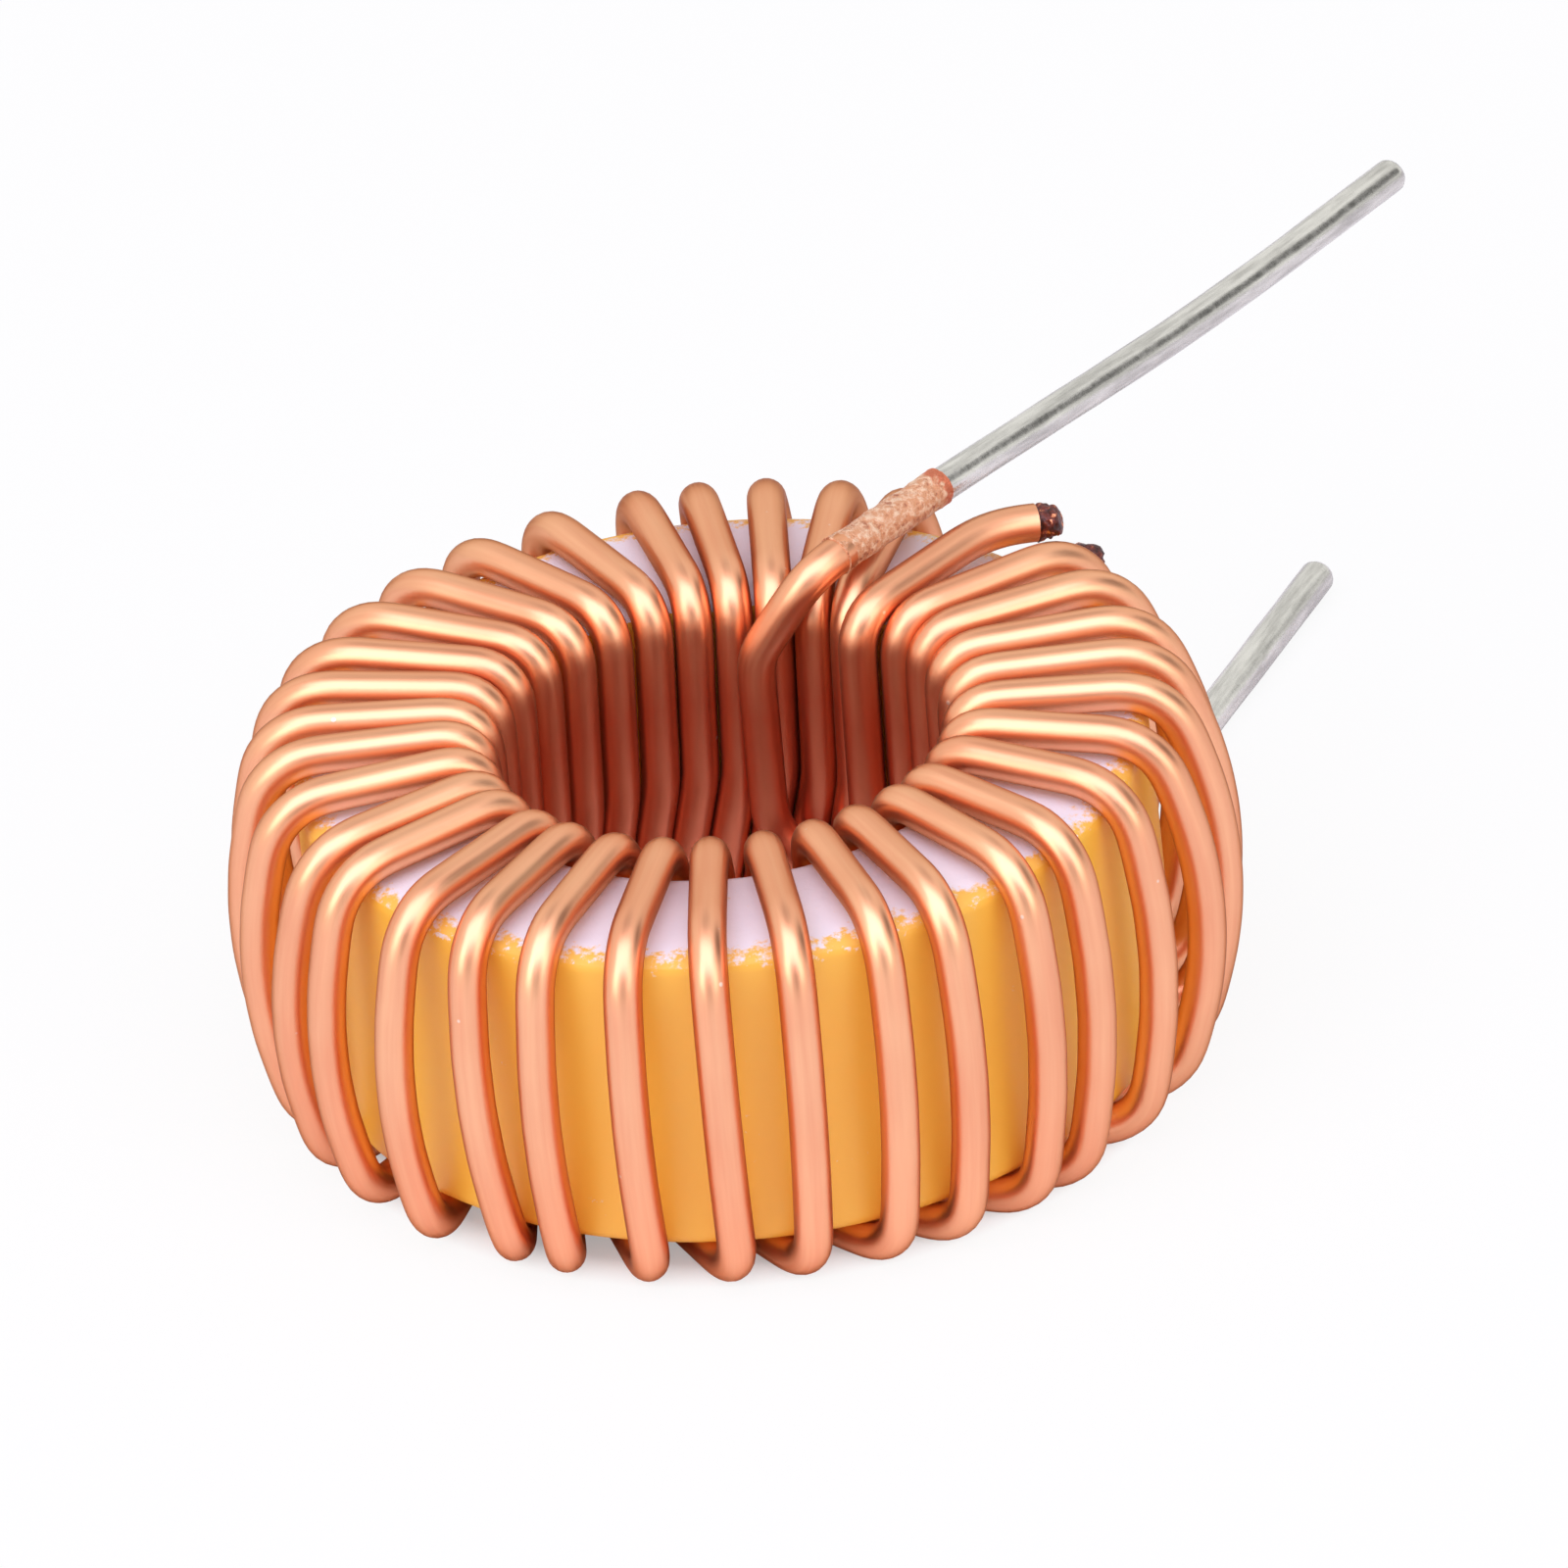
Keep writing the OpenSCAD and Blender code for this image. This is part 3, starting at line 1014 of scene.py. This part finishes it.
    def wound_pass(self, n: int) -> list[Corner]:
        """Lays a pass: up through the hole, over the upper face and down the outside.

        Args:
            n: The number of the pass, from 0.

        Returns:
            Its corners.
        """
        lean, lean_z = 2.5, 0.1
        loose = self.first_loose <= n <= self.last_loose
        taut = self.first_taut <= n < self.first_loose
        corner = self.bow_reach * (self.loose_bow if loose else self.taut_bow if taut else self.bow)
        side = self.ro + (self.loose_stand if loose else 0)
        top = self.zt - (self.lift - self.late_lift if n >= self.first_late else 0)
        return [
            (at(self.under_r, self.foot(n), -self.zb), 0),
            (at(self.ri, self.foot(n), -self.zb), self.bend_in),
            (at(self.ri, self.crown[n] + lean, -lean_z * self.zt), 0),
            (at(self.ri, self.crown[n], top), self.bend_in),
            (at(side, self.shoulder[n], top), self.bend_top),
            (at(side + corner, (self.shoulder[n] + self.heel[n]) / 2, 0), self.bow_bend(corner)),
            (at(side, self.heel[n], -self.zb), self.bend_low),
        ]

    def lower_lead(self) -> tuple[Point, Point, Point]:
        """Places the lower lead.

        Returns:
            Its knee, its root and its tip.
        """
        out, knee_a, lead_a, root_l = 3.36, 45.7, 63.6, 0.25
        knee = at(self.ro + out, knee_a, -self.zb)
        root = knee + at(root_l, lead_a, 0)
        return knee, root, root + at(self.lower_tin_l, lead_a, 0)

    def upper_lead(self) -> tuple[Point, Point, Point, Point, Point]:
        """Places the upper lead.

        Returns:
            Its crown, the start of the scraped stretch, the start of the tin, the tin's bend and the tip.
        """
        crown_in, crown_a, start_in, start_a = 0.34, 60, 0.59, 53.2
        root_a, tip_a = 44.4, 49.4
        crown = at(self.ri - crown_in, crown_a, self.over_z)
        start = at(self.ro - start_in, start_a, self.over_z)
        scraped = start - self.scrape_l * unit(start - crown)
        bend = start + at(self.upper_root_l, root_a, 0)
        return crown, scraped, start, bend, bend + at(self.upper_tin_l - self.upper_root_l, tip_a, 0)

    def burnt_ends(self) -> tuple[Point, Point, Point]:
        """Places the clipped ends of the second strand.

        Returns:
            The side end, the upper end's neck and the upper end.
        """
        side_out, side_a, side_z = 0.14, 39.8, 0.64
        neck_in, neck_a, neck_up = 0.54, 45.2, 0.13
        end_out, end_a, end_up = 0.02, 41.8, 0.04
        side = at(self.ro + self.bow + side_out, side_a, side_z * self.zt)
        neck = at(self.ro - neck_in, neck_a, self.zt + neck_up)
        return side, neck, at(self.ro + end_out, end_a, self.zt + end_up)

    def lifted(self, line: Line) -> Line:
        """The line moved from the ring's mid-plane to its place above the floor."""
        return line + np.array([0.0, 0.0, self.mid_z])

    def first_path(self) -> list[Corner]:
        """Lays the first strand, from the lower lead to the upper lead's tin.

        Returns:
            Its corners.
        """
        knee, root, _ = self.lower_lead()
        crown, scraped, start, _, _ = self.upper_lead()
        last = len(self.crown) - 1
        # The last climb lies inside the passes in the hole.
        inner_r = self.ri - self.wire_d - 2 * self.gap
        low_a, low_z, high_a, high_z = -282, 0.3, -282.5, 0.72
        knee_bend, climb_bend = 1.0, 0.75
        path: list[Corner] = [(root, 0), (knee, knee_bend)]
        for n in range(0, last + 1, 2):
            path += self.wound_pass(n)
        path += [
            (at(self.under_r, self.foot(last + 2), -self.zb), 0),
            (at(inner_r, self.foot(last + 2), -self.zb), self.bend_in),
            (at(inner_r, low_a, -low_z * self.zt), climb_bend),
            (at(inner_r, high_a, high_z * self.zt), climb_bend),
            (crown, climb_bend),
            (scraped, 0),
            (start, 0),
        ]
        return path

    def second_path(self) -> list[Corner]:
        """Lays the second strand, from its clipped side end to the one on the upper face.

        Returns:
            Its corners.
        """
        side, neck, end = self.burnt_ends()
        last = len(self.crown) - 1
        bow_a, heel_a, neck_bend = 38.0, 36.2, 2.0
        # The last climb lies in the groove between two passes, and leans as it climbs.
        groove_in, groove_a, groove_up = 0.4, -313.7, 0.05
        low_lean, low_z, high_lean, high_z = 4, 0.62, 2.5, 0.3
        groove_r = self.ri - groove_in
        corner = self.bow_reach * self.bow
        path: list[Corner] = [
            (side, 0),
            (at(self.ro + corner, bow_a, 0), self.bow_bend(corner) / 2),
            (at(self.ro, heel_a, -self.zb), self.bend_low),
        ]
        for n in range(1, last, 2):
            path += self.wound_pass(n)
        path += [
            (at(self.under_r, self.foot(last + 1), -self.zb), 0),
            (at(self.ri, self.foot(last + 1), -self.zb), self.bend_in),
            (at(self.ri, groove_a + low_lean, -low_z * self.zt), 0),
            (at(groove_r, groove_a + high_lean, -high_z * self.zt), 0),
            (at(groove_r, groove_a, self.zt + groove_up), self.bend_in),
            (neck, neck_bend),
            (end, 0),
        ]
        return path

    def strand(self, name: str, path: list[Corner], node: str, bare: float = 0.0) -> Piece:
        """Builds one strand of enamelled wire.

        Args:
            name: The piece's name.
            path: The corners of its centre line.
            node: The CAD node that it stands for.
            bare: The length at the far end where the enamel is scraped off.

        Returns:
            The dressed piece.
        """
        line = self.lifted(ease(round_corners(path, self.step), passes=3))
        to_end = run_length(line[::-1])[::-1]
        made = Sweep(line, np.where(to_end < bare, self.copper_r, self.wire_r)).build(name)
        return dress(made, EnamelledCopper("polyurethane_enamelled_copper"), Slot.COPPER_ENAMEL, node)

    def tinned(self, name: str, path: list[Corner], node: str) -> Piece:
        """Builds a tinned lead with a rounded tip.

        Args:
            name: The piece's name.
            path: The corners of its centre line, from where the tin starts to the lead's tip.
            node: The CAD node that it stands for.

        Returns:
            The dressed piece.
        """
        line = round_corners(path, self.step / 2)
        from_tip = run_length(line[::-1])[::-1]
        round_l, blunt, least = 0.16, 0.75, 0.05
        end = np.sqrt(np.clip(1 - (1 - from_tip / round_l) ** 2 * blunt, least, 1))
        radius = np.where(from_tip < round_l, self.tin_r * end, self.tin_r)
        line = self.lifted(line)

        def ripple(s: float, angle: float) -> float:
            """Works out how far the set tin dips.

            Args:
                s: The length along the lead.
                angle: The angle round it, in radians.

            Returns:
                The change of the radius.
            """
            depth, rate = 0.014, 0.9
            p = Vector((math.cos(angle) * rate, math.sin(angle) * rate, s * rate))
            return depth * (noise.noise(p) - 1) / 2

        made = Sweep(line, radius).build(name, ripple)
        return dress(made, DippedTin("tin_hot_dipped"), Slot.TIN, node)

    def scraped(self) -> Piece:
        """Builds the crumpled enamel between the sound enamel and the tin of the upper lead.

        Returns:
            The dressed piece.
        """
        _, a, b, _, _ = self.upper_lead()
        # It starts a little before the scraped stretch, in shares of that stretch.
        count, start = 90, -0.2
        t = np.linspace(start, 1.0, count)
        line = self.lifted(a + (b - a) * t[:, None])
        radius = np.full(count, self.scrape_r)
        radius[0] = radius[-1] = self.copper_r

        def crumple(s: float, angle: float) -> float:
            """Works out how far the crust dips.

            Args:
                s: The length along the wire.
                angle: The angle round it, in radians.

            Returns:
                The change of the radius.
            """
            depth, smooth_l, around, along = 0.02, 0.05, 1.3, 2.6
            p = Vector((math.cos(angle) * around, math.sin(angle) * around, s * along))
            lump = noise.noise(p) + 0.6 * noise.noise(p * 2.9) + 0.4 * noise.noise(p * 6.1)
            return depth * (min(lump, 1.0) - 1.0) if s > smooth_l else 0.0

        made = Sweep(line, radius, BEAD_SIDES).build("scraped_enamel_crust", crumple)
        return dress(made, ScrapedEnamel("enamel_scraped_crumpled"), Slot.SCRAPED_ENAMEL, "scraped_enamel")

    def burnt(self, name: str, a: Point, direction: Point, node: str, seed: float) -> Piece:
        """Builds the charred bead on a clipped end.

        Args:
            name: The piece's name.
            a: Where the bead starts.
            direction: The way that it points.
            node: The CAD node that it stands for.
            seed: A shift of the noise, so that no two beads are alike.

        Returns:
            The dressed piece.
        """
        count = 40
        t = np.linspace(0.0, 1.0, count)
        line = self.lifted(a + unit(direction) * self.char_l * t[:, None])
        # The bead swells over its first fifth and closes over its second half.
        rise = 0.9 + 0.1 * np.clip(t / 0.2, 0, 1)
        fall = np.sqrt(np.clip(1 - (np.clip(t - 0.5, 0, 1) / 0.52) ** 2, 0.04, 1))
        radius = self.char_r * rise * fall

        def blister(s: float, angle: float) -> float:
            """Works out how far the char is eaten away.

            Args:
                s: The length along the bead.
                angle: The angle round it, in radians.

            Returns:
                The change of the radius.
            """
            coarse, fine, around, along = 0.09, 0.045, 1.2, 5
            p = Vector((math.cos(angle) * around + seed, math.sin(angle) * around, s * along))
            return coarse * (noise.noise(p) - 0.5) + fine * (noise.noise(p * 2.7) - 0.5)

        made = Sweep(line, radius, BEAD_SIDES).build(name, blister)
        return dress(made, CharredEnd("enamel_charred_on_copper"), Slot.CHAR, node)

    def build(self) -> list[Piece]:
        """Builds both strands, the tinned leads, the scraped stretch and the burnt ends.

        Returns:
            The pieces.
        """
        _, low_root, low_tip = self.lower_lead()
        _, _, start, bend, tip = self.upper_lead()
        side, neck, end = self.burnt_ends()
        # The strand is bare copper under the crust, and a tenth further.
        bare = self.scrape_l * 1.1
        lead_bend, side_seed = 45.0, 7.3
        return [
            self.strand("first_strand_wire", self.first_path(), "first_strand", bare),
            self.strand("second_strand_wire", self.second_path(), "second_strand"),
            self.tinned("upper_lead_tinned", [(start, 0), (bend, lead_bend), (tip, 0)], "upper_lead_tin"),
            self.tinned("lower_lead_tinned", [(low_root, 0), (low_tip, 0)], "lower_lead_tin"),
            self.scraped(),
            self.burnt("upper_end_char", end, end - neck, "upper_burnt_end", 0.0),
            self.burnt("side_end_char", side, np.array([0.0, 0.0, 1.0]), "side_burnt_end", side_seed),
        ]


# ---- Studio and camera ----


@dataclass(frozen=True)
class Gap:
    """A dim place in the tent, which draws a brown streak in the gloss of the wire.

    Attributes:
        azimuth: Its direction, in degrees; 0 is the lens side and 90 the right.
        elevation: Its height angle, in degrees.
        inner: Half angle inside which it is dimmest.
        outer: Half angle where the full tent starts.
        level: Its light, where the tent is 1.
    """

    azimuth: float
    elevation: float
    inner: float
    outer: float
    level: float


@dataclass(frozen=True)
class Panel:
    """A soft panel that faces the part.

    Attributes:
        name: The lamp's name.
        azimuth: Its direction, in degrees; 0 is the lens side and 90 the right.
        elevation: Its height angle, in degrees.
        wide: Its width, in metres.
        high: Its height, in metres.
        level: How bright its face is, where white paper is 1.
        colour: The colour of its light.
        far: Its distance, in metres.
    """

    name: str
    azimuth: float
    elevation: float
    wide: float
    high: float
    level: float
    colour: str = "#FFFFFF"
    far: float = 0.3

    def build(self) -> None:
        """Adds the panel's lamp."""
        data = bpy.data.lights.new(self.name, "AREA")
        data.shape = "RECTANGLE"
        data.size, data.size_y = self.wide, self.high
        data.energy = self.level * math.pi * self.wide * self.high
        data.color = srgb(self.colour)[:3]
        lamp = bpy.data.objects.new(self.name, data)
        bpy.context.scene.collection.objects.link(lamp)
        back = Vector(towards(self.azimuth, self.elevation))
        lamp.location = back * self.far
        lamp.rotation_mode = "QUATERNION"
        lamp.rotation_quaternion = back.to_track_quat("Z", "Y")


@dataclass
class Studio:
    """White tent light: a pale floor, a bright tent and soft panels above and beside the part.

    Attributes:
        tent: Light of the tent on the part.
        white: The tent as the camera sees it.
        gloss: The tent as gloss sees it.
        paper: Half the width of the paper, in metres.
        gaps: The lens opening, the slit behind the overhead panel and the one at the right.
        panels: The overhead panel, which is a colder white, and the two at the sides.
    """

    tent: float = 0.62
    white: float = 1.0
    gloss: float = 1.15
    paper: float = 0.6
    gaps: tuple[Gap, ...] = (Gap(0, 25, 8, 26, 0.34), Gap(180, 66, 7, 24, 0.55), Gap(98, 31, 9, 24, 0.14))
    panels: tuple[Panel, ...] = (
        Panel("overhead_panel", -12, 62, 0.44, 0.26, 2.2, "#ECE2FF"),
        Panel("left_panel", -48, 26, 0.16, 0.14, 1.8),
        Panel("right_panel", 42, 26, 0.13, 0.14, 1.6),
    )

    def world(self) -> None:
        """Makes the tent: plain light for matt surfaces, and white with dim gaps for gloss."""
        made = bpy.data.worlds.new("tent")
        bpy.context.scene.world = made
        made.use_nodes = True
        tree = made.node_tree
        tree.nodes.clear()
        way = add_node(tree, "TexCoord", {}).outputs["Generated"]
        seen: Any = self.gloss
        for gap in self.gaps:
            aim = tuple(towards(gap.azimuth, gap.elevation))
            facing = add_node(tree, "VectorMath", {0: way, 1: aim}, operation="DOT_PRODUCT")
            full, dimmest = (math.cos(math.radians(angle)) for angle in (gap.outer, gap.inner))
            fade = {"From Min": full, "From Max": dimmest, "To Min": 1.0, "To Max": gap.level}
            dim = add_node(tree, "MapRange", {"Value": facing, **fade}, interpolation_type="SMOOTHSTEP")
            seen = add_node(tree, "Math", {0: seen, 1: dim}, operation="MULTIPLY")
        path = add_node(tree, "LightPath", {}).outputs
        rays = {0: path["Is Glossy Ray"], 1: path["Is Transmission Ray"]}
        gloss = add_node(tree, "Math", rays, operation="MAXIMUM")
        plain = add_node(tree, "Mix", {"Factor": gloss, 2: self.tent, 3: seen})
        shown = add_node(tree, "Mix", {"Factor": path["Is Camera Ray"], 2: plain, 3: self.white})
        add_node(tree, "OutputWorld", {"Surface": add_node(tree, "Background", {"Strength": shown})})

    def build(self) -> None:
        """Builds the floor, the tent and the panels."""
        corners = [(-1, -1, 0), (1, -1, 0), (1, 1, 0), (-1, 1, 0)]
        floor = mesh_object("paper_floor", np.array(corners) * self.paper / MM, [(0, 1, 2, 3)])
        floor.data.materials.append(PaperSweep("paper_white").material())
        self.world()
        for panel in self.panels:
            panel.build()


@dataclass
class LongLens:
    """The camera: a long lens, a little above the part and tilted a little.

    Attributes:
        elevation: Height angle, in degrees.
        roll: Turn round the line of sight, in degrees.
        aim: The point that it looks at, in millimetres right of the ring's centre and above it in the view.
        width: Width of the view at the part, in millimetres.
        lens: Focal length, in millimetres.
        sensor: Width of the sensor, in millimetres.
        centre_z: Height of the ring's centre.
    """

    elevation: float = 31.3
    roll: float = 5.95
    aim: tuple[float, float] = (0.867, 1.321)
    width: float = 23.22
    lens: float = 1400.0
    sensor: float = 36.0
    centre_z: float = 3.075

    def build(self) -> Piece:
        """Makes the camera and gives it to the scene.

        Returns:
            The camera.
        """
        e, roll = math.radians(self.elevation), math.radians(self.roll)
        right = Vector((1, 0, 0))
        up = Vector((0, math.sin(e), math.cos(e)))
        back = Vector((0, -math.cos(e), math.sin(e)))
        target = (Vector((0, 0, self.centre_z)) + self.aim[0] * right + self.aim[1] * up) * MM
        data = bpy.data.cameras.new("long_lens")
        data.sensor_width, data.lens = self.sensor, self.lens
        far = self.width * MM * self.lens / self.sensor
        data.clip_start, data.clip_end = far * 0.1, far * 10
        camera = bpy.data.objects.new("long_lens", data)
        bpy.context.scene.collection.objects.link(camera)
        x_axis = math.cos(roll) * right - math.sin(roll) * up
        y_axis = math.sin(roll) * right + math.cos(roll) * up
        turn = Matrix((x_axis, y_axis, back)).transposed().to_4x4()
        camera.matrix_world = Matrix.Translation(target + back * far) @ turn
        bpy.context.scene.camera = camera
        return camera


def main() -> None:
    """Builds the scene in order: studio, camera, ring and winding."""
    logging.basicConfig(level=logging.INFO, format="%(name)s: %(message)s")
    bpy.context.scene.view_settings.view_transform = "Standard"
    LongLens().build()
    Studio().build()
    ring = CoatedRing()
    ring.build()
    Winding(ring=ring).build()


if __name__ == "__main__":
    main()
